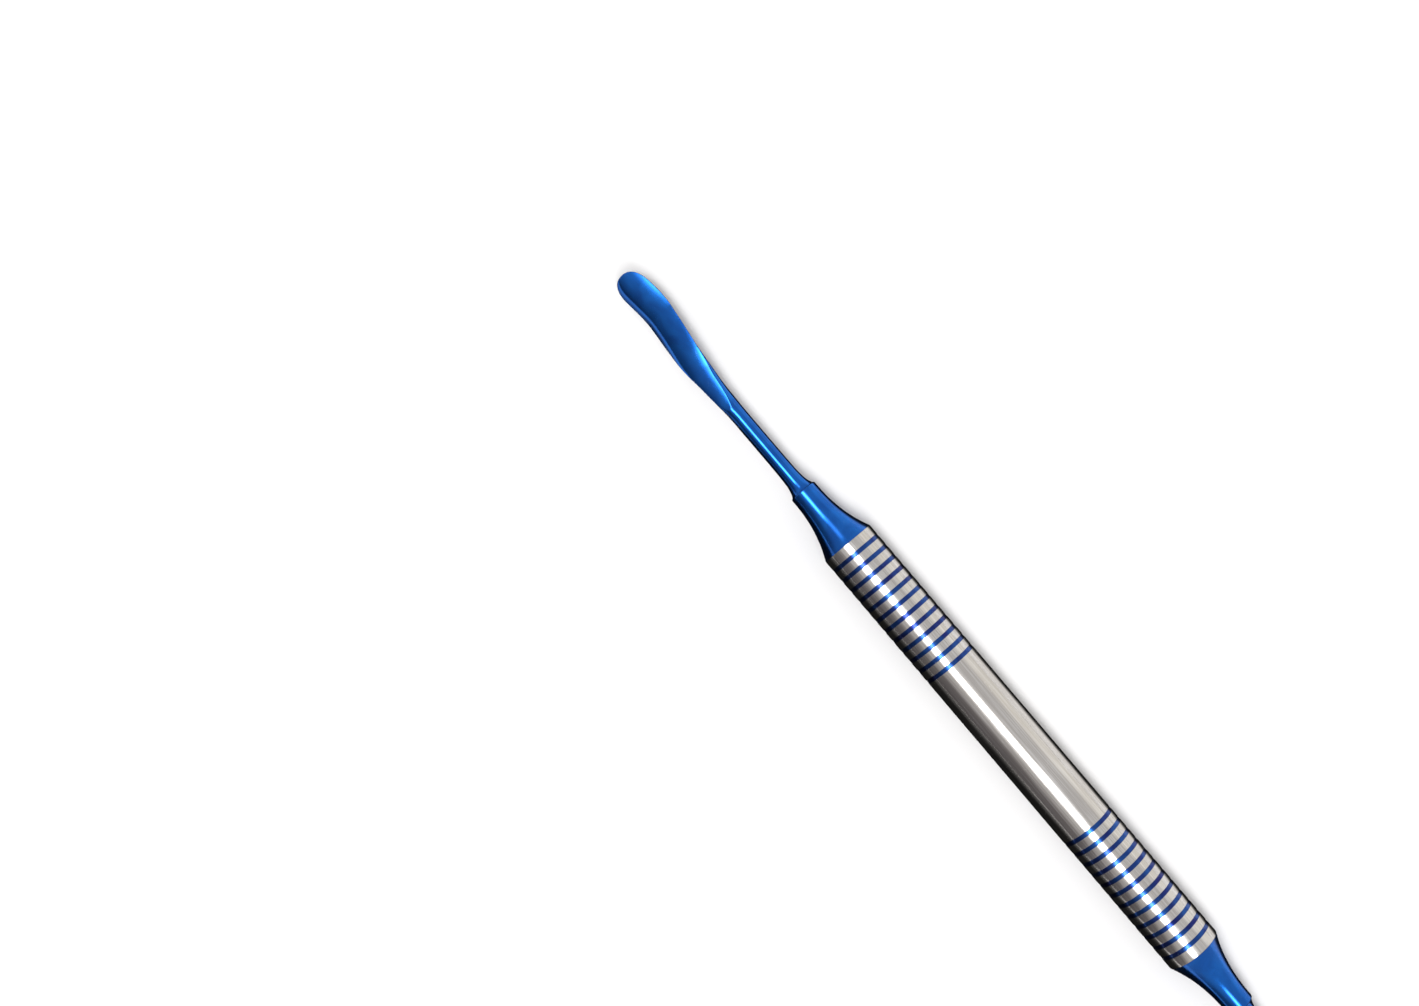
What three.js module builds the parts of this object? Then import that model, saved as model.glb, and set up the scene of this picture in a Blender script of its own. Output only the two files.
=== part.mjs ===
// Double-ended sculpting spatula: a hollow steel handle with banded grips, a flared cone pressed into
// each end, and a forged tip in each cone. Millimetres, +Z up, the front blade points along +X.
// The origin is on the table, under the middle of the handle, which lies along X.

import * as THREE from 'three';

// Handle
const HANDLE_RADIUS = 4;
const HANDLE_LENGTH = 72;
const BORE_RADIUS = 3;
const GRIP_ENDS = ['front', 'rear'];
const BANDS_PER_GRIP = 12;
const BAND_PITCH = 1.8;
const GRIP_END_MARGIN = 1.8;
const GROOVE_WIDTH = 0.62;
const GROOVE_DEPTH = 0.26;
const BAND_THICKNESS = 0.14;

// Cones
const CONE_LENGTH = 9.7;
const COLLAR_RADIUS = 2.04;
const COLLAR_LIP = 0.22;
const FLARE_POWER = 2.35;
const FLARE_STEPS = 9;
const SPIGOT_LENGTH = 7;
const SPIGOT_CHAMFER = 0.4;
const SOCKET_DEPTH = 10.5;

// Tips: a round shank that widens into a long blade, whose upper face is ground to a low crown
const TIP_LENGTH = 39.8;
const TANG_LENGTH = 10;
const TANG_CHAMFER = 0.3;
const SHANK_RADIUS = 1.21;
const SHOULDER_SWELL = 0.62;
const SHOULDER_FADE = 1.0;
const GRIND_START = 13.2;
const BLADE_START = 14;
const ROUND_END_START = 36.3;
const END_SQUARENESS = 2.45;
const ROLL = THREE.MathUtils.degToRad(27);
const EDGE = 0.16;
const CROWN = 0.12;
const BEVEL_SLOPE = 0.45;
const BEVEL_BLEND = 0.35;

// Fits and facets
const PRESS_GAP = 0.02;
const FACETS = 24;
const FLAT_TO_CORNER = 1 / Math.cos(Math.PI / FACETS);
const FIRST_CORNER = Math.PI / FACETS;

const POLISHED_STEEL = { color: 0xc9c6c0, roughness: 0.22, metalness: 1 };
const BLUE_COATING = { color: 0x1257a8, roughness: 0.18, metalness: 1 };
const DARK_BLUE_COATING = { color: 0x10216e, roughness: 0.3, metalness: 1 };

function smoothStep(from, to, x) {
  const s = THREE.MathUtils.clamp((x - from) / (to - from), 0, 1);
  return s * s * (3 - 2 * s);
}

// A turned body about the local Y axis. Radii are to the flats, and one flat faces straight down.
function turned(profile) {
  const points = profile.map(([radius, along]) => new THREE.Vector2(radius * FLAT_TO_CORNER, along));
  return new THREE.LatheGeometry(points, FACETS, FIRST_CORNER);
}

function part(name, geometry, finish) {
  const mesh = new THREE.Mesh(geometry, new THREE.MeshStandardMaterial(finish));
  mesh.name = name;
  return mesh;
}

// Distance of each band's middle from the middle of the handle, outermost first.
function bandOffset(index) {
  return HANDLE_LENGTH / 2 - GRIP_END_MARGIN - index * BAND_PITCH;
}

function handleTube() {
  const floor = HANDLE_RADIUS - GROOVE_DEPTH;
  const half = HANDLE_LENGTH / 2;
  const frontGrooves = [];
  for (let i = BANDS_PER_GRIP - 1; i >= 0; i -= 1) frontGrooves.push(bandOffset(i));
  const rearGrooves = frontGrooves.map((offset) => -offset).reverse();
  const outside = [[HANDLE_RADIUS, -half]];
  for (const middle of [...rearGrooves, ...frontGrooves]) {
    const low = middle - GROOVE_WIDTH / 2;
    const high = middle + GROOVE_WIDTH / 2;
    outside.push([HANDLE_RADIUS, low], [floor, low], [floor, high], [HANDLE_RADIUS, high]);
  }
  outside.push([HANDLE_RADIUS, half]);
  const inside = [[BORE_RADIUS, half], [BORE_RADIUS, -half]];
  return turned([...outside, ...inside, outside[0]]);
}

function gripBand() {
  const inner = HANDLE_RADIUS - GROOVE_DEPTH + PRESS_GAP;
  const outer = inner + BAND_THICKNESS;
  const half = GROOVE_WIDTH / 2 - PRESS_GAP;
  return turned([[outer, -half], [outer, half], [inner, half], [inner, -half], [outer, -half]]);
}

// The cone's wide face is at 0, its spigot reaches back into the tube, its collar is forward.
function cone() {
  const spigot = BORE_RADIUS - PRESS_GAP;
  const socket = SHANK_RADIUS + PRESS_GAP;
  const socketEnd = CONE_LENGTH - SOCKET_DEPTH;
  const profile = [
    [0, -SPIGOT_LENGTH],
    [spigot - SPIGOT_CHAMFER, -SPIGOT_LENGTH],
    [spigot, SPIGOT_CHAMFER - SPIGOT_LENGTH],
    [spigot, PRESS_GAP],
  ];
  const flareLength = CONE_LENGTH - COLLAR_LIP - PRESS_GAP;
  for (let i = 0; i <= FLARE_STEPS; i += 1) {
    const along = i / FLARE_STEPS;
    const spread = (HANDLE_RADIUS - COLLAR_RADIUS) * (1 - along) ** FLARE_POWER;
    profile.push([COLLAR_RADIUS + spread, PRESS_GAP + along * flareLength]);
  }
  const lipMiddle = COLLAR_LIP * (1 - Math.SQRT1_2);
  profile.push([COLLAR_RADIUS - lipMiddle, CONE_LENGTH - lipMiddle]);
  profile.push([COLLAR_RADIUS - COLLAR_LIP, CONE_LENGTH]);
  profile.push([socket, CONE_LENGTH], [socket, socketEnd], [0, socketEnd]);
  return turned(profile);
}

// How far a distance has got through a stretch of the tip.
function through(start, end, ahead) {
  return THREE.MathUtils.clamp(ahead, start, end) - start;
}

// Height of the ground face's middle line over the tool's axis: it falls in four gentle slopes.
function faceHeight(ahead) {
  const runOut = 0.9 * (1 - smoothStep(GRIND_START, 15.5, ahead));
  const fall = 0.098 * through(15.2, 22, ahead) + 0.05 * through(22, 25, ahead);
  return 1.2 + runOut - fall - 0.09 * through(25, 32, ahead) - 0.02 * through(32, TIP_LENGTH, ahead);
}

// Measures of a tip's cross-section at a distance in front of its collar, before it is rolled.
function tipSection(ahead, blade) {
  const past = through(ROUND_END_START, TIP_LENGTH, ahead) / (TIP_LENGTH - ROUND_END_START);
  const rounding = (1 - Math.min(past, 0.998) ** END_SQUARENESS) ** (1 / END_SQUARENESS);
  const swell = SHOULDER_SWELL * Math.exp(-Math.max(ahead, 0) / SHOULDER_FADE);
  const widen = blade.widen * smoothStep(14.6, 29.6, ahead) + blade.head * smoothStep(27.2, 35.1, ahead);
  const halfWidth = (SHANK_RADIUS + swell + widen) * rounding;
  const top = faceHeight(ahead);
  const bottom = 0.12 * smoothStep(16, 28, ahead) + 0.1 * smoothStep(28, 37, ahead) - SHANK_RADIUS - swell;
  const edge = EDGE + 0.41 * (1 - smoothStep(20, 25.5, ahead));
  const turnBack = 1.12 * smoothStep(31.9, TIP_LENGTH, ahead);
  const sweep = blade.sweep * (smoothStep(22.3, 37, ahead) - turnBack);
  const neckLean = 0.13 * smoothStep(GRIND_START, 16.5, ahead) * (1 - smoothStep(20, 28, ahead));
  return {
    halfWidth,
    top,
    bottom,
    edge,
    edgeHeight: smoothStep(BLADE_START, 20.5, ahead) * (top - CROWN * halfWidth - edge),
    blankHeight: SHANK_RADIUS + swell + 0.8 * smoothStep(20, 26, ahead),
    lens: 1 + smoothStep(16, 26, ahead),
    thinning: 0.5 + 0.5 * rounding,
    lean: neckLean + 0.05 * smoothStep(31, 35, ahead),
    bevelStart: 1 - 0.3 * smoothStep(18, 23, ahead) - 0.3 * smoothStep(22, 30, ahead),
    bevelSlope: BEVEL_SLOPE * smoothStep(17, 22, ahead),
    sideways: 0.1 * smoothStep(15, 22, ahead) - sweep,
  };
}

// Drop of the ground face below its middle line, as a share of the half width: a low crown, with a
// softly blended bevel along the +Y edge.
function faceDrop(section, q) {
  const past = Math.max(q - section.bevelStart, 0);
  const blend = Math.min(past, BEVEL_BLEND);
  const bevel = blend ** 2 / (2 * BEVEL_BLEND) + past - blend;
  return CROWN * q * q + section.bevelSlope * bevel;
}

// A point of the section, across and up: around the section, q is the cosine and rise the sine.
// The underside follows a lens, but keeps the thickness of the edge under the bevel.
function sectionPoint(section, q, rise) {
  const { halfWidth, top, bottom, edge, edgeHeight, lens, thinning } = section;
  const face = top - halfWidth * faceDrop(section, q);
  const above = Math.min(edgeHeight + section.blankHeight * rise, face);
  const underside = edgeHeight - (edgeHeight - bottom) * Math.abs(rise) ** lens;
  const below = Math.min(underside, face - edge);
  const up = (rise > 0 ? above : below) + section.lean * halfWidth * q;
  const middle = (top + bottom) / 2;
  return [halfWidth * q, middle + (up - middle) * thinning];
}

// Distances of a tip's cross-sections: the tang, the shoulder, the shank and blade, the round end.
function tipStations() {
  const stations = [-TANG_LENGTH, TANG_CHAMFER - TANG_LENGTH, 0, PRESS_GAP, 0.3, 0.7, 1.2, 2, 3.5, 8];
  for (let ahead = GRIND_START; ahead < ROUND_END_START; ahead += 0.9) stations.push(ahead);
  const endSteps = 7;
  for (let i = 0; i <= endSteps; i += 1) {
    const turn = (Math.PI / 2) * (i / endSteps);
    stations.push(ROUND_END_START + (TIP_LENGTH - ROUND_END_START) * Math.sin(turn));
  }
  return stations;
}

// A tip along the local Y axis: the tool's +Y is local -X, and up is local Z.
function tip(blade) {
  const stations = tipStations();
  const rows = stations.length - 1;
  const tangRadii = [SHANK_RADIUS - TANG_CHAMFER, SHANK_RADIUS, SHANK_RADIUS];
  const geometry = new THREE.CylinderGeometry(1, 1, 1, FACETS, rows, false, FIRST_CORNER);
  const position = geometry.attributes.position;
  for (let i = 0; i < position.count; i += 1) {
    const row = Math.round((position.getY(i) + 0.5) * rows);
    const q = -position.getX(i) * FLAT_TO_CORNER;
    const rise = position.getZ(i) * FLAT_TO_CORNER;
    const section = tipSection(stations[row], blade);
    const tang = tangRadii[row];
    const [across, up] = tang ? [q * tang, rise * tang] : sectionPoint(section, q, rise);
    const y = across * Math.cos(ROLL) + up * Math.sin(ROLL) + section.sideways;
    const z = up * Math.cos(ROLL) - across * Math.sin(ROLL);
    position.setXYZ(i, -blade.side * y, stations[row], z);
  }
  if (blade.side < 0) flipFaces(geometry);
  return geometry;
}

function flipFaces(geometry) {
  const index = geometry.index;
  for (let i = 0; i < index.count; i += 3) {
    const second = index.getX(i + 1);
    index.setX(i + 1, index.getX(i + 2));
    index.setX(i + 2, second);
  }
}

const FRONT_BLADE = { side: 1, widen: 1.11, head: 0.13, sweep: 0.585 };
const REAR_BLADE = { side: -1, widen: 0.76, head: 0.12, sweep: 0.585 };

// One end of the tool, built along the local Y axis from the middle of the handle.
function toolEnd(end) {
  const group = new THREE.Group();
  const face = HANDLE_LENGTH / 2;
  const coneMesh = part(`${end}_cone`, cone(), BLUE_COATING);
  coneMesh.position.y = face;
  const tipMesh = part(`${end}_blade_tip`, tip(end === 'front' ? FRONT_BLADE : REAR_BLADE), BLUE_COATING);
  tipMesh.position.y = face + CONE_LENGTH;
  group.add(coneMesh, tipMesh);
  for (let i = 0; i < BANDS_PER_GRIP; i += 1) {
    const number = String(i + 1).padStart(2, '0');
    const band = part(`${end}_grip_band_${number}`, gripBand(), DARK_BLUE_COATING);
    band.position.y = bandOffset(i);
    group.add(band);
  }
  return group;
}

const spatula = new THREE.Group();
const alongX = new THREE.Group();
alongX.rotation.z = -Math.PI / 2;
alongX.position.z = HANDLE_RADIUS;
alongX.add(part('handle_tube', handleTube(), POLISHED_STEEL));
for (const end of GRIP_ENDS) {
  const group = toolEnd(end);
  group.rotation.z = end === 'front' ? 0 : Math.PI;
  alongX.add(group);
}
spatula.add(alongX);

export default spatula;
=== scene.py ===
import math

import bpy
from mathutils import Matrix, Vector


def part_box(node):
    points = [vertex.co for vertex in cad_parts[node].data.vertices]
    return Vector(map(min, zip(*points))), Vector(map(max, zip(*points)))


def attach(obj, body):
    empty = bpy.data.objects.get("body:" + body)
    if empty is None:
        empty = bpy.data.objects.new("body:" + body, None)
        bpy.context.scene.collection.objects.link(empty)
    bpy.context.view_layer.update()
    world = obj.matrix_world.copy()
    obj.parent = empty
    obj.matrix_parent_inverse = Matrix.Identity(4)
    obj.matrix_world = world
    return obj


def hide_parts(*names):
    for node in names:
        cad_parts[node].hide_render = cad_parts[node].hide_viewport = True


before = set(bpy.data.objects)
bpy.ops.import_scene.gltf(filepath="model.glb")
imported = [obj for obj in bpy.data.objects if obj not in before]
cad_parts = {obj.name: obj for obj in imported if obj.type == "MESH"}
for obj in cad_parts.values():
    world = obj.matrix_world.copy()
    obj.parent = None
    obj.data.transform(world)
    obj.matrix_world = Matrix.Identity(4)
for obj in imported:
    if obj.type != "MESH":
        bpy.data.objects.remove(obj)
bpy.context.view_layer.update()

MM = 0.001

# ---------------------------------------------------------------- sizes taken from the frame
TUBE_LOW, TUBE_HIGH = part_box("handle_tube")
HANDLE_RADIUS = (TUBE_HIGH.z - TUBE_LOW.z) / 2
AXIS_HEIGHT = (TUBE_HIGH.z + TUBE_LOW.z) / 2
TUBE_HALF = TUBE_HIGH.x
BANDS_PER_GRIP = 12
CONE_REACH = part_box("front_cone")[1].x
TIP_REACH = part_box("front_blade_tip")[1].x
SPIGOT_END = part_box("front_cone")[0].x
TANG_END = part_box("front_blade_tip")[0].x

# ---------------------------------------------------------------- sizes of the fine detail
BORE_RADIUS = 3.0 * MM
GROOVE_HALF = 0.31 * MM
GROOVE_DEPTH = 0.26 * MM
GROOVE_LIP = 0.02 * MM
BAND_LIFT = 0.005 * MM
BAND_SIDE_GAP = 0.004 * MM
BAND_WALL_DEPTH = 0.02 * MM
BAND_DISH_DEPTH = 0.045 * MM
PRESS_GAP = 0.02 * MM
FACE_GAP = 0.01 * MM
COLLAR_RADIUS = 2.04 * MM
COLLAR_LIP = 0.24 * MM
FLARE_POWER = 2.35
SHANK_RADIUS = 1.21 * MM
SOCKET_DEPTH = 10.5 * MM
SPIGOT_CHAMFER = 0.4 * MM
TURNED_SIDES = 160
TIP_SIDES = 160
TIP_END_STEPS = 34
SHARP_ANGLE = math.radians(35)

# ---------------------------------------------------------------- steps along a tip, in millimetres
TIP_FOOT = 0.01
TIP_STEP = 0.13

END_SIGN = {"front": 1, "rear": -1}

# ---------------------------------------------------------------- the studio's sizes and tones
FLOOR_REACH = 3.0
FLOOR_COLOUR = (0.78, 0.78, 0.78, 1)
SHADE = 0.012
TIP_SIDE_LIGHT = 0.93
HANDLE_SIDE_LIGHT = 0.12
FAR_SIDE_LIGHT = 1.05
CARD_REACH = 0.12
CARD_LOW_Y, CARD_HIGH_Y = -24 * MM, 400 * MM
CARD_HEIGHT = 0.1 * MM
CARD_TINT = (1.0, 0.98, 0.97, 1)
LAMP_DISTANCE = 0.62
LAMP_END_FADE = 0.8
ROOM_TONES = (
    (-90, (0.98, 0.96, 0.92)),
    (-62, (1.06, 1.03, 0.98)),
    (-46, (0.70, 0.69, 0.69)),
    (5, (0.66, 0.65, 0.66)),
    (32, (0.62, 0.605, 0.60)),
    (44, (0.46, 0.44, 0.44)),
    (55, (0.21, 0.195, 0.20)),
    (74, (0.15, 0.14, 0.145)),
    (90, (0.13, 0.12, 0.125)),
)


# ---------------------------------------------------------------- curves and meshes
def clamp(value, low, high):
    return max(low, min(high, value))


def smooth_step(start, end, x):
    s = clamp((x - start) / (end - start), 0.0, 1.0)
    return s * s * (3 - 2 * s)


def soft_min(a, b, radius):
    """The lower of two heights, rounded over where they cross."""
    h = clamp(0.5 + 0.5 * (b - a) / radius, 0.0, 1.0)
    return b * (1 - h) + a * h - radius * h * (1 - h)


def circle(sides):
    """Angles round a circle, half a step off its first axis."""
    return [2 * math.pi * (i + 0.5) / sides for i in range(sides)]


def make_piece(name, points, faces, node):
    """A smooth-shaded mesh that stands for one CAD node."""
    mesh = bpy.data.meshes.new(name)
    mesh.from_pydata(points, [], faces)
    mesh.validate()
    mesh.shade_smooth()
    mesh.set_sharp_from_angle(angle=SHARP_ANGLE)
    piece = bpy.data.objects.new(name, mesh)
    bpy.context.scene.collection.objects.link(piece)
    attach(piece, "root")
    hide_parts(node)
    return piece


def turned(profile, sides=TURNED_SIDES):
    """Points and faces of a body turned about the handle's axis.

    The profile is a list of (x, radius). It starts and ends on the axis, or closes on itself.
    """
    closed = profile[0][1] > 0
    points, rows = [], []
    for x, radius in profile:
        if radius <= 0:
            rows.append([len(points)] * sides)
            points.append((x, 0.0, AXIS_HEIGHT))
            continue
        rows.append(list(range(len(points), len(points) + sides)))
        for i in range(sides):
            angle = 2 * math.pi * i / sides
            points.append((x, radius * math.sin(angle), AXIS_HEIGHT + radius * math.cos(angle)))
    pairs = list(zip(rows, rows[1:]))
    if closed:
        pairs.append((rows[-1], rows[0]))
    faces = []
    for low, high in pairs:
        for i in range(sides):
            j = (i + 1) % sides
            corners = []
            for corner in (low[i], high[i], high[j], low[j]):
                if corner not in corners:
                    corners.append(corner)
            if len(corners) > 2:
                faces.append(corners)
    return points, faces


def facing_out(points, faces):
    """Turns every face round if the body is inside out."""
    volume = 0.0
    for face in faces:
        a = Vector(points[face[0]])
        for b, c in zip(face[1:], face[2:]):
            volume += a.dot(Vector(points[b]).cross(Vector(points[c])))
    if volume < 0:
        faces = [list(reversed(face)) for face in faces]
    return points, faces


def arc(centre_x, centre_r, radius, start, end, steps):
    """Points of a round corner, with angles in degrees from the +X direction."""
    corner = []
    for i in range(steps + 1):
        angle = math.radians(start + (end - start) * i / steps)
        corner.append((centre_x + radius * math.cos(angle), centre_r + radius * math.sin(angle)))
    return corner


# ---------------------------------------------------------------- node materials
class Shader:
    """Builds one node material, a node at a time."""

    def __init__(self, name):
        self.material = bpy.data.materials.new(name)
        self.material.use_nodes = True
        self.tree = self.material.node_tree
        self.surface = self.tree.nodes["Principled BSDF"]
        self.place = self.node("ShaderNodeTexCoord").outputs["Object"]

    def node(self, kind, **settings):
        made = self.tree.nodes.new(kind)
        for key, value in settings.items():
            setattr(made, key, value)
        return made

    def link(self, value, socket):
        if isinstance(value, bpy.types.NodeSocket):
            self.tree.links.new(value, socket)
        else:
            socket.default_value = value

    def set(self, **values):
        for key, value in values.items():
            self.link(value, self.surface.inputs[key.replace("_", " ")])

    def stretched(self, x, y, z):
        """Object coordinates in repeats per metre along each axis."""
        mapping = self.node("ShaderNodeMapping")
        self.link(self.place, mapping.inputs["Vector"])
        mapping.inputs["Scale"].default_value = (x, y, z)
        return mapping.outputs["Vector"]

    def noise(self, vector, detail=3.0, distortion=0.0):
        made = self.node("ShaderNodeTexNoise")
        self.link(vector, made.inputs["Vector"])
        made.inputs["Scale"].default_value = 1.0
        made.inputs["Detail"].default_value = detail
        made.inputs["Distortion"].default_value = distortion
        return made.outputs["Fac"]

    def span(self, value, low, high, to_low=0.0, to_high=1.0):
        """Maps low..high to to_low..to_high, smoothly and clamped."""
        made = self.node("ShaderNodeMapRange", interpolation_type="SMOOTHSTEP")
        self.link(value, made.inputs["Value"])
        for key, number in zip(("From Min", "From Max", "To Min", "To Max"), (low, high, to_low, to_high)):
            self.link(number, made.inputs[key])
        return made.outputs["Result"]

    def math(self, operation, a, b=0.0):
        made = self.node("ShaderNodeMath", operation=operation)
        self.link(a, made.inputs[0])
        self.link(b, made.inputs[1])
        return made.outputs[0]

    def blend(self, amount, a, b):
        """Goes from the number a to the number b."""
        rest = self.math("SUBTRACT", 1.0, amount)
        return self.math("ADD", self.math("MULTIPLY", b, amount), self.math("MULTIPLY", a, rest))

    def mix(self, amount, a, b):
        """Mixes two colours, through the Mix node's colour sockets."""
        made = self.node("ShaderNodeMix", data_type="RGBA")
        colour_a, colour_b, result = made.inputs[6], made.inputs[7], made.outputs[2]
        self.link(amount, made.inputs["Factor"])
        self.link(a, colour_a)
        self.link(b, colour_b)
        return result

    def bump(self, height, strength, distance, normal=None):
        made = self.node("ShaderNodeBump")
        self.link(height, made.inputs["Height"])
        made.inputs["Strength"].default_value = strength
        made.inputs["Distance"].default_value = distance
        if normal is not None:
            self.link(normal, made.inputs["Normal"])
        return made.outputs["Normal"]

    def hairlines(self, x, y, z, width=0.006, cover=0.62):
        """Fine scratches: the thin level lines of a stretched noise, kept in patches."""
        lines = self.noise(self.stretched(x, y, z), detail=1.0)
        off_line = self.math("ABSOLUTE", self.math("SUBTRACT", lines, 0.5))
        line = self.span(off_line, 0.0, width, 1.0, 0.0)
        patches = self.noise(self.stretched(420, 420, 420), detail=1.0)
        return self.math("MULTIPLY", line, self.span(patches, cover - 0.08, cover + 0.04))


def steel_material():
    """Polished steel with fine lengthwise lines, smudges and a few scratches."""
    s = Shader("polished_steel")
    streaks = s.noise(s.stretched(90, 5200, 5200), detail=4.0)
    lines = s.noise(s.stretched(260, 15000, 15000), detail=2.0)
    smudges = s.noise(s.stretched(120, 240, 240), detail=3.0, distortion=0.4)
    scratches = s.hairlines(260, 900, 900)
    tone = s.span(s.math("MULTIPLY", streaks, s.span(smudges, 0.3, 0.7, 0.75, 1.0)), 0.3, 0.65)
    colour = s.mix(tone, (0.56, 0.535, 0.505, 1), (0.70, 0.685, 0.665, 1))
    colour = s.mix(s.math("MULTIPLY", scratches, 0.35), colour, (0.86, 0.85, 0.83, 1))
    rough = s.math("ADD", s.span(streaks, 0.3, 0.7, 0.12, 0.18), s.span(smudges, 0.4, 0.75, 0.0, 0.04))
    normal = s.bump(lines, 0.012, 0.004 * MM)
    normal = s.bump(streaks, 0.008, 0.006 * MM, normal)
    normal = s.bump(scratches, 0.06, -0.004 * MM, normal)
    s.set(Base_Color=colour, Metallic=1.0, Roughness=rough, Normal=normal)
    return s.material


def blue_material(name, deep, bright, rough_low, rough_high, coat):
    """A clear blue coating over drawn metal, with clouds in its colour and a few fine nicks."""
    s = Shader(name)
    clouds = s.noise(s.stretched(260, 320, 320), detail=3.0, distortion=0.6)
    grain = s.noise(s.stretched(5200, 6400, 6400), detail=3.0)
    drawn = s.noise(s.stretched(320, 4200, 4200), detail=2.0)
    nicks = s.hairlines(700, 1500, 1500, width=0.004, cover=0.66)
    colour = s.mix(s.span(clouds, 0.3, 0.7), deep, bright)
    colour = s.mix(s.math("MULTIPLY", nicks, 0.4), colour, (0.25, 0.5, 0.8, 1))
    rough = s.math("ADD", s.span(grain, 0.3, 0.7, rough_low, rough_high), s.span(drawn, 0.4, 0.8, 0.0, 0.05))
    normal = s.bump(grain, 0.02, 0.004 * MM)
    normal = s.bump(drawn, 0.03, 0.004 * MM, normal)
    normal = s.bump(nicks, 0.2, -0.004 * MM, normal)
    s.set(Base_Color=colour, Metallic=1.0, Roughness=rough, Normal=normal)
    s.surface.inputs["Coat Weight"].default_value = coat
    s.surface.inputs["Coat Roughness"].default_value = 0.06
    return s.material


# ---------------------------------------------------------------- handle
def band_places():
    """The middle of each grip band along the handle, by its node."""
    places = {}
    for end in END_SIGN:
        for i in range(BANDS_PER_GRIP):
            node = f"{end}_grip_band_{i + 1:02d}"
            low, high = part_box(node)
            places[node] = (low.x + high.x) / 2
    return places


def handle_piece(places):
    """The tube, with a small round lip at each side of every groove."""
    floor = HANDLE_RADIUS - GROOVE_DEPTH
    outside = arc(-TUBE_HALF + GROOVE_LIP, HANDLE_RADIUS - GROOVE_LIP, GROOVE_LIP, 180, 90, 3)
    for middle in sorted(places.values()):
        low, high = middle - GROOVE_HALF, middle + GROOVE_HALF
        outside += arc(low - GROOVE_LIP, HANDLE_RADIUS - GROOVE_LIP, GROOVE_LIP, 90, 0, 4)
        outside += [(low, floor), (high, floor)]
        outside += arc(high + GROOVE_LIP, HANDLE_RADIUS - GROOVE_LIP, GROOVE_LIP, 180, 90, 4)
    outside += arc(TUBE_HALF - GROOVE_LIP, HANDLE_RADIUS - GROOVE_LIP, GROOVE_LIP, 90, 0, 3)
    inside = [(TUBE_HALF, BORE_RADIUS), (-TUBE_HALF, BORE_RADIUS)]
    points, faces = facing_out(*turned(outside + inside))
    return make_piece("handle_tube_turned", points, faces, "handle_tube")


def band_piece(node, middle):
    """A ring that lines its groove: highest at the walls, and dished in the middle."""
    floor = HANDLE_RADIUS - GROOVE_DEPTH + BAND_LIFT
    half = GROOVE_HALF - BAND_SIDE_GAP
    wall_top = HANDLE_RADIUS - BAND_WALL_DEPTH
    dish = HANDLE_RADIUS - BAND_DISH_DEPTH
    steps = 8
    profile = [(middle - half, floor)]
    for i in range(steps + 1):
        across = -1 + 2 * i / steps
        profile.append((middle + half * across, dish + (wall_top - dish) * across ** 4))
    profile.append((middle + half, floor))
    points, faces = facing_out(*turned(profile))
    return make_piece(node + "_ring", points, faces, node)


# ---------------------------------------------------------------- cones
def cone_piece(end):
    """A flared cone with its collar, its spigot in the tube and the socket for the tang."""
    sign = END_SIGN[end]
    spigot = BORE_RADIUS - PRESS_GAP
    socket = SHANK_RADIUS + PRESS_GAP
    socket_end = CONE_REACH - SOCKET_DEPTH
    face = TUBE_HALF + FACE_GAP
    profile = [
        (SPIGOT_END, 0),
        (SPIGOT_END, spigot - SPIGOT_CHAMFER),
        (SPIGOT_END + SPIGOT_CHAMFER, spigot),
        (face, spigot),
    ]
    steps = 40
    length = CONE_REACH - COLLAR_LIP - face
    for i in range(steps + 1):
        along = i / steps
        spread = (HANDLE_RADIUS - COLLAR_RADIUS) * (1 - along) ** FLARE_POWER
        profile.append((face + along * length, COLLAR_RADIUS + spread))
    profile += arc(CONE_REACH - COLLAR_LIP, COLLAR_RADIUS - COLLAR_LIP, COLLAR_LIP, 80, 0, 7)
    profile += [(CONE_REACH, socket), (socket_end, socket), (socket_end, 0)]
    profile = [(sign * x, radius) for x, radius in profile]
    points, faces = facing_out(*turned(profile))
    return make_piece(f"{end}_cone_flared", points, faces, f"{end}_cone")


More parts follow.
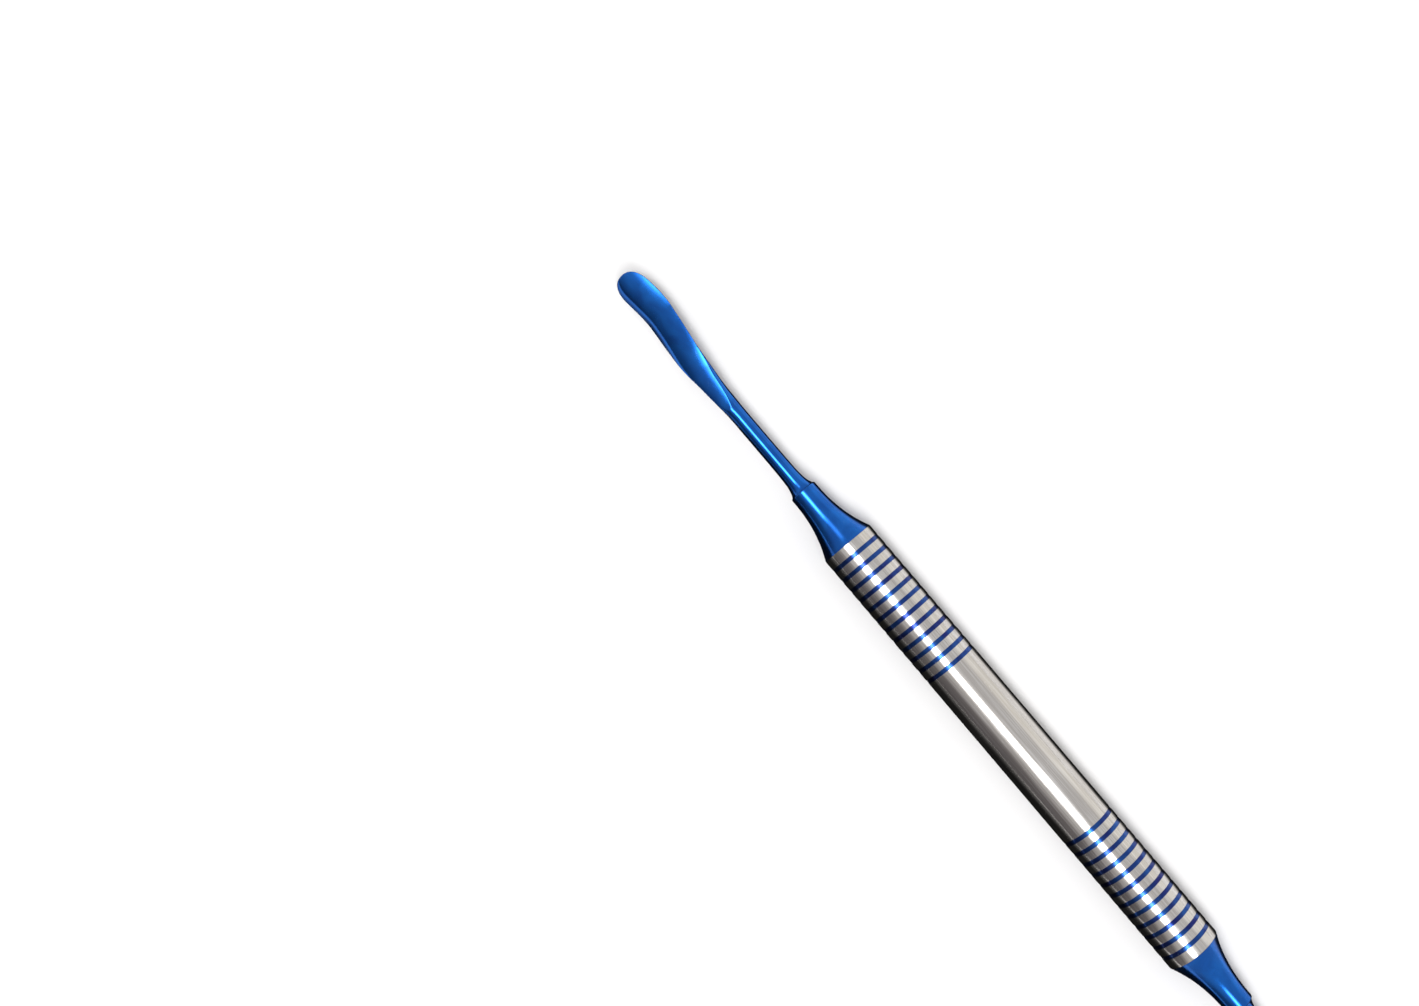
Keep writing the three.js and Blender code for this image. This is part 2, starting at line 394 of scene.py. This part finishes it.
# ---------------------------------------------------------------- tips
class Blade:
    """The shape of a tip in millimetres, by the distance in front of its collar.

    A section is drawn upright, with its ground face on top, and is then rolled about the tool's
    axis, so that the face leans towards +Y, as it does when the tool lies on its handle.
    """

    LENGTH = 39.8
    SHANK = 1.21
    SHOULDER_SWELL, SHOULDER_FADE = 0.62, 1.0
    ROUND_END = 36.3
    END_SQUARENESS = 2.45
    ROLL = math.radians(27)

    # the ground face: its height, the rise where it runs out, and its falls as (from, to, slope)
    FACE_HEIGHT = 1.2
    RUN_OUT, RUN_OUT_RISE = (13.2, 15.5), 0.9
    FACE_FALLS = ((15.2, 22.0, 0.098), (22.0, 25.0, 0.05), (25.0, 32.0, 0.09), (32.0, LENGTH, 0.02))
    CROWN = 0.12
    RIDGE_ROUNDING = 0.06

    # the bevel along the +Y edge: it comes in over two stretches
    BEVEL_SLOPE, BEVEL_BLEND = 0.45, 0.35
    BEVEL_DEEPENS = (17, 22)
    BEVEL_WIDENS, BEVEL_SHARE = ((18, 23), (22, 30)), 0.3

    # stretches in which the section changes, and by how much
    WIDENS, HEAD_WIDENS = (14.6, 29.6), (27.2, 35.1)
    BELLY_RISES = ((16, 28, 0.12), (28, 37, 0.1))
    EDGE, NECK_EDGE, EDGE_THINS = 0.16, 0.41, (20, 25.5)
    EDGE_FORMS = (14, 20.5)
    BLANK_GROWTH, BLANK_GROWS = 0.8, (20, 26)
    BELLY_FLATTENS = (16, 26)
    NECK_LEAN, NECK_LEANS, NECK_STRAIGHTENS = 0.13, (13.2, 16.5), (20, 28)
    HEAD_LEAN, HEAD_LEANS = 0.05, (31, 35)
    NECK_SHIFT, NECK_SHIFTS = 0.1, (15, 22)
    SWEEPS, TURN_BACK, TURNS_BACK = (22.3, 37), 1.12, (31.9, LENGTH)

    def __init__(self, widen, head, sweep):
        self.widen, self.head, self.sweep = widen, head, sweep

    def face_height(self, ahead):
        """Height of the ground face's middle line over the tool's axis."""
        run_out = self.RUN_OUT_RISE * (1 - smooth_step(*self.RUN_OUT, ahead))
        fall = sum(slope * (clamp(ahead, start, end) - start) for start, end, slope in self.FACE_FALLS)
        return self.FACE_HEIGHT + run_out - fall

    def face_drop(self, q, ahead):
        """Drop of the face below its middle line, as a share of the half width: crown and bevel."""
        start = 1 - self.BEVEL_SHARE * sum(smooth_step(*stretch, ahead) for stretch in self.BEVEL_WIDENS)
        past_start = max(0.0, q - start)
        blend = min(past_start, self.BEVEL_BLEND)
        bevel = blend * blend / (2 * self.BEVEL_BLEND) + past_start - blend
        slope = self.BEVEL_SLOPE * smooth_step(*self.BEVEL_DEEPENS, ahead)
        return self.CROWN * q * q + slope * bevel

    def lean(self, ahead):
        """Slope of the whole section across the blade, at the neck and at the head."""
        neck = smooth_step(*self.NECK_LEANS, ahead) * (1 - smooth_step(*self.NECK_STRAIGHTENS, ahead))
        return self.NECK_LEAN * neck + self.HEAD_LEAN * smooth_step(*self.HEAD_LEANS, ahead)

    def sideways(self, ahead):
        """How far the blade's middle line lies from the tool's axis, towards +Y."""
        turned_back = self.TURN_BACK * smooth_step(*self.TURNS_BACK, ahead)
        sweep = self.sweep * (smooth_step(*self.SWEEPS, ahead) - turned_back)
        return self.NECK_SHIFT * smooth_step(*self.NECK_SHIFTS, ahead) - sweep

    def ring(self, ahead, sides):
        """Points (across, up) of one cross-section.

        Its upper side is the blank or the ground face, whichever is lower. Its underside is a lens
        that keeps the thickness of the edge under the bevel.
        """
        past = clamp((ahead - self.ROUND_END) / (self.LENGTH - self.ROUND_END), 0.0, 0.99999)
        rounding = (1 - past ** self.END_SQUARENESS) ** (1 / self.END_SQUARENESS)
        blank = self.SHANK + self.SHOULDER_SWELL * math.exp(-ahead / self.SHOULDER_FADE)
        widen = self.widen * smooth_step(*self.WIDENS, ahead)
        widen += self.head * smooth_step(*self.HEAD_WIDENS, ahead)
        half_width = (blank + widen) * rounding
        top = self.face_height(ahead)
        belly_rise = sum(rise * smooth_step(start, end, ahead) for start, end, rise in self.BELLY_RISES)
        bottom = belly_rise - blank
        edge = self.EDGE + self.NECK_EDGE * (1 - smooth_step(*self.EDGE_THINS, ahead))
        edge_height = smooth_step(*self.EDGE_FORMS, ahead) * (top - self.CROWN * half_width - edge)
        blank_height = blank + self.BLANK_GROWTH * smooth_step(*self.BLANK_GROWS, ahead)
        lens = 1 + smooth_step(*self.BELLY_FLATTENS, ahead)
        lean, sideways = self.lean(ahead), self.sideways(ahead)
        middle = (top + bottom) / 2
        thinning = 0.5 + 0.5 * rounding
        ring = []
        for angle in circle(sides):
            q, rise = math.cos(angle), math.sin(angle)
            face = top - half_width * self.face_drop(q, ahead)
            if rise > 0:
                up = soft_min(edge_height + blank_height * rise, face, self.RIDGE_ROUNDING)
            else:
                underside = edge_height - (edge_height - bottom) * abs(rise) ** lens
                up = min(underside, face - edge)
            up += lean * half_width * q
            up = middle + (up - middle) * thinning
            across = half_width * q
            ring.append((
                across * math.cos(self.ROLL) + up * math.sin(self.ROLL) + sideways,
                up * math.cos(self.ROLL) - across * math.sin(self.ROLL),
            ))
        return ring


def tip_stations(blade, length):
    """Distances of a tip's rings in front of the collar, closer together at the round end."""
    stations = []
    ahead = TIP_FOOT
    while ahead < blade.ROUND_END:
        stations.append(ahead)
        ahead += TIP_STEP
    for i in range(TIP_END_STEPS + 1):
        turn = math.pi / 2 * i / TIP_END_STEPS
        stations.append(blade.ROUND_END + (length - blade.ROUND_END) * math.sin(turn))
    return stations


def tip_piece(end, blade):
    """A tang, shoulder, shank and blade in one closed mesh."""
    sign = END_SIGN[end]
    tang = [(blade.SHANK * math.cos(a), blade.SHANK * math.sin(a)) for a in circle(TIP_SIDES)]
    rings = [((TANG_END - CONE_REACH) / MM, tang), (TIP_FOOT, tang)]
    for ahead in tip_stations(blade, (TIP_REACH - CONE_REACH) / MM):
        rings.append((ahead, blade.ring(ahead, TIP_SIDES)))
    points, faces = [], []
    for ahead, ring in rings:
        for across, up in ring:
            points.append((sign * (CONE_REACH + ahead * MM), across * MM, AXIS_HEIGHT + up * MM))
    for row in range(len(rings) - 1):
        low, high = row * TIP_SIDES, (row + 1) * TIP_SIDES
        for i in range(TIP_SIDES):
            j = (i + 1) % TIP_SIDES
            faces.append([low + i, high + i, high + j, low + j])
    last = (len(rings) - 1) * TIP_SIDES
    faces.append(list(range(TIP_SIDES)))
    faces.append([last + i for i in reversed(range(TIP_SIDES))])
    points, faces = facing_out(points, faces)
    return make_piece(f"{end}_blade_forged", points, faces, f"{end}_blade_tip")


# ---------------------------------------------------------------- the studio
def flat_sheet(name, low_x, high_x, low_y, high_y, height, material):
    """A level rectangle that belongs to the studio, not to the tool."""
    mesh = bpy.data.meshes.new(name)
    corners = [(low_x, low_y), (high_x, low_y), (high_x, high_y), (low_x, high_y)]
    mesh.from_pydata([(x, y, height) for x, y in corners], [], [(0, 1, 2, 3)])
    mesh.materials.append(material)
    sheet = bpy.data.objects.new(name, mesh)
    bpy.context.scene.collection.objects.link(sheet)
    return sheet


def make_floor():
    s = Shader("pale_floor")
    s.set(Base_Color=FLOOR_COLOUR, Roughness=0.9)
    s.surface.inputs["Specular IOR Level"].default_value = 0.1
    flat_sheet("floor", -FLOOR_REACH, FLOOR_REACH, -FLOOR_REACH, FLOOR_REACH, 0, s.material)


def make_dark_card():
    """A glowing sheet on the floor under the tool, lighter further out, that only reflections show.

    Its glow is painted shade and painted reflection: it stands for the shade that lies around a tool on a
    table, and keeps polished edges dark.
    """
    s = Shader("dark_card")
    parts = s.node("ShaderNodeSeparateXYZ")
    s.link(s.place, parts.inputs["Vector"])
    x, y = parts.outputs["X"], parts.outputs["Y"]
    along = s.math("ABSOLUTE", x)
    beside_tip = s.span(along, CONE_REACH + 13 * MM, CONE_REACH + 19 * MM)
    tip_side = s.span(y, 4 * MM, 10 * MM, SHADE, TIP_SIDE_LIGHT)
    handle_side = s.span(y, 12 * MM, 60 * MM, SHADE, HANDLE_SIDE_LIGHT)
    near_side = s.blend(beside_tip, handle_side, tip_side)
    far_side = s.span(y, -9 * MM, -16 * MM, SHADE, FAR_SIDE_LIGHT)
    light = s.blend(s.math("GREATER_THAN", y, 0.0), far_side, near_side)
    # The sheet's emission is painted shade near the tool and painted floor light further out, seen only in
    # reflections.
    s.set(Base_Color=(0, 0, 0, 1), Roughness=1.0, Emission_Color=CARD_TINT, Emission_Strength=light)
    s.surface.inputs["Specular IOR Level"].default_value = 0
    size = (-CARD_REACH, CARD_REACH, CARD_LOW_Y, CARD_HIGH_Y)
    card = flat_sheet("dark_card", *size, CARD_HEIGHT, s.material)
    card.visible_camera = False
    card.visible_diffuse = False
    card.visible_shadow = False


def soft_light(name, angle, half_angle, low_x, high_x, radiance, spread):
    """A rectangular lamp facing the tool, at an angle from straight up towards +Y.

    It reaches half_angle to either side of that angle, and runs from low_x to high_x. It is
    brightest along its middle line, and fades out sideways and towards its ends.
    """
    width = 2 * LAMP_DISTANCE * math.tan(half_angle)
    length = high_x - low_x
    data = bpy.data.lights.new(name, "AREA")
    data.shape = "RECTANGLE"
    data.size, data.size_y = length, width
    data.energy = math.pi * length * width * radiance
    light = bpy.data.objects.new(name, data)
    up = Vector((0, math.sin(angle), math.cos(angle)))
    middle = Vector(((low_x + high_x) / 2, 0, 0)) + LAMP_DISTANCE * up
    light.matrix_world = Matrix.Translation(middle) @ Matrix.Rotation(-angle, 4, "X")
    bpy.context.scene.collection.objects.link(light)
    fade_lamp(data, spread)


def fade_lamp(data, spread):
    """Makes a lamp soft at its edges: spread is the half width of its bright middle, as a share."""
    data.use_nodes = True
    tree = data.node_tree
    place = tree.nodes.new("ShaderNodeNewGeometry")
    parts = tree.nodes.new("ShaderNodeSeparateXYZ")
    tree.links.new(place.outputs["Parametric"], parts.inputs["Vector"])

    def step(operation, a, b):
        node = tree.nodes.new("ShaderNodeMath")
        node.operation = operation
        for value, socket in ((a, node.inputs[0]), (b, node.inputs[1])):
            if isinstance(value, float):
                socket.default_value = value
            else:
                tree.links.new(value, socket)
        return node.outputs[0]

    def bell(value, share, power):
        off = step("MULTIPLY", step("ABSOLUTE", step("SUBTRACT", value, 0.5), 0.0), 2.0 / share)
        return step("POWER", math.e, step("MULTIPLY", step("POWER", off, power), -0.5))

    along = bell(parts.outputs["X"], LAMP_END_FADE, 8.0)
    across = bell(parts.outputs["Y"], spread, 2.0)
    strength = step("MULTIPLY", along, across)
    emission = tree.nodes["Emission"]
    tree.links.new(strength, emission.inputs["Strength"])


def make_surroundings():
    """A pale room, by how far a direction leans to -Y or +Y: beige, light grey, then brown-grey."""
    world = bpy.data.worlds.new("studio")
    bpy.context.scene.world = world
    world.use_nodes = True
    tree = world.node_tree
    place = tree.nodes.new("ShaderNodeTexCoord")
    parts = tree.nodes.new("ShaderNodeSeparateXYZ")
    ramp = tree.nodes.new("ShaderNodeValToRGB")
    spread = tree.nodes.new("ShaderNodeMapRange")
    spread.inputs["From Min"].default_value = -1.0
    tree.links.new(place.outputs["Generated"], parts.inputs["Vector"])
    tree.links.new(parts.outputs["Y"], spread.inputs["Value"])
    tree.links.new(spread.outputs["Result"], ramp.inputs["Fac"])
    tree.links.new(ramp.outputs["Color"], tree.nodes["Background"].inputs["Color"])
    stops = ramp.color_ramp.elements
    for index, (degrees, colour) in enumerate(ROOM_TONES):
        position = (1 + math.sin(math.radians(degrees))) / 2
        stop = stops[index] if index < 2 else stops.new(position)
        stop.position = position
        stop.color = (*colour, 1)


def make_camera():
    """Nearly straight down, 24 cm above the table, rolled so that the handle runs down to the right."""
    tilt = math.radians(4.47)
    roll = math.radians(49.83)
    place = Vector((34.25, 11.04, 240.8)) * MM
    forward = Vector((math.sin(tilt), 0, -math.cos(tilt)))
    along = Vector((-math.cos(tilt), 0, -math.sin(tilt)))
    right = math.cos(roll) * along + math.sin(roll) * Vector((0, -1, 0))
    up = right.cross(forward)
    data = bpy.data.cameras.new("camera")
    data.sensor_width = 36
    data.lens = 43.13
    data.clip_start, data.clip_end = 0.01, 20
    camera = bpy.data.objects.new("camera", data)
    axes = Matrix((right, up, -forward)).transposed()
    camera.matrix_world = Matrix.Translation(place) @ axes.to_4x4()
    bpy.context.scene.collection.objects.link(camera)
    bpy.context.scene.camera = camera


# ---------------------------------------------------------------- the whole scene
make_camera()
make_floor()
make_surroundings()
soft_light(
    "soft_key", angle=math.radians(12), half_angle=math.radians(16),
    low_x=-0.45, high_x=0.34, radiance=12.0, spread=0.33)
soft_light(
    "front_glow", angle=math.radians(6), half_angle=math.radians(14),
    low_x=0.25, high_x=0.70, radiance=2.0, spread=0.5)
make_dark_card()
bpy.context.scene.view_settings.view_transform = "Standard"

STEEL = steel_material()
BLUE = blue_material("blue_coating", (0.007, 0.105, 0.47, 1), (0.010, 0.15, 0.60, 1), 0.14, 0.2, 0.25)
# The bands carry the same blue coating as the cones; their darker colours here are painted shade for lying
# down in the grooves.
SHADED_GROOVE_BLUE = blue_material("groove_blue", (0.005, 0.012, 0.15, 1), (0.007, 0.075, 0.32, 1), 0.14, 0.22, 0.4)

band_middles = band_places()
handle_piece(band_middles).data.materials.append(STEEL)
for band_node, band_middle in band_middles.items():
    band_piece(band_node, band_middle).data.materials.append(SHADED_GROOVE_BLUE)

BLADES = {
    "front": Blade(widen=1.11, head=0.13, sweep=0.585),
    "rear": Blade(widen=0.76, head=0.12, sweep=0.585),
}
for tool_end, tool_blade in BLADES.items():
    cone_piece(tool_end).data.materials.append(BLUE)
    tip_piece(tool_end, tool_blade).data.materials.append(BLUE)
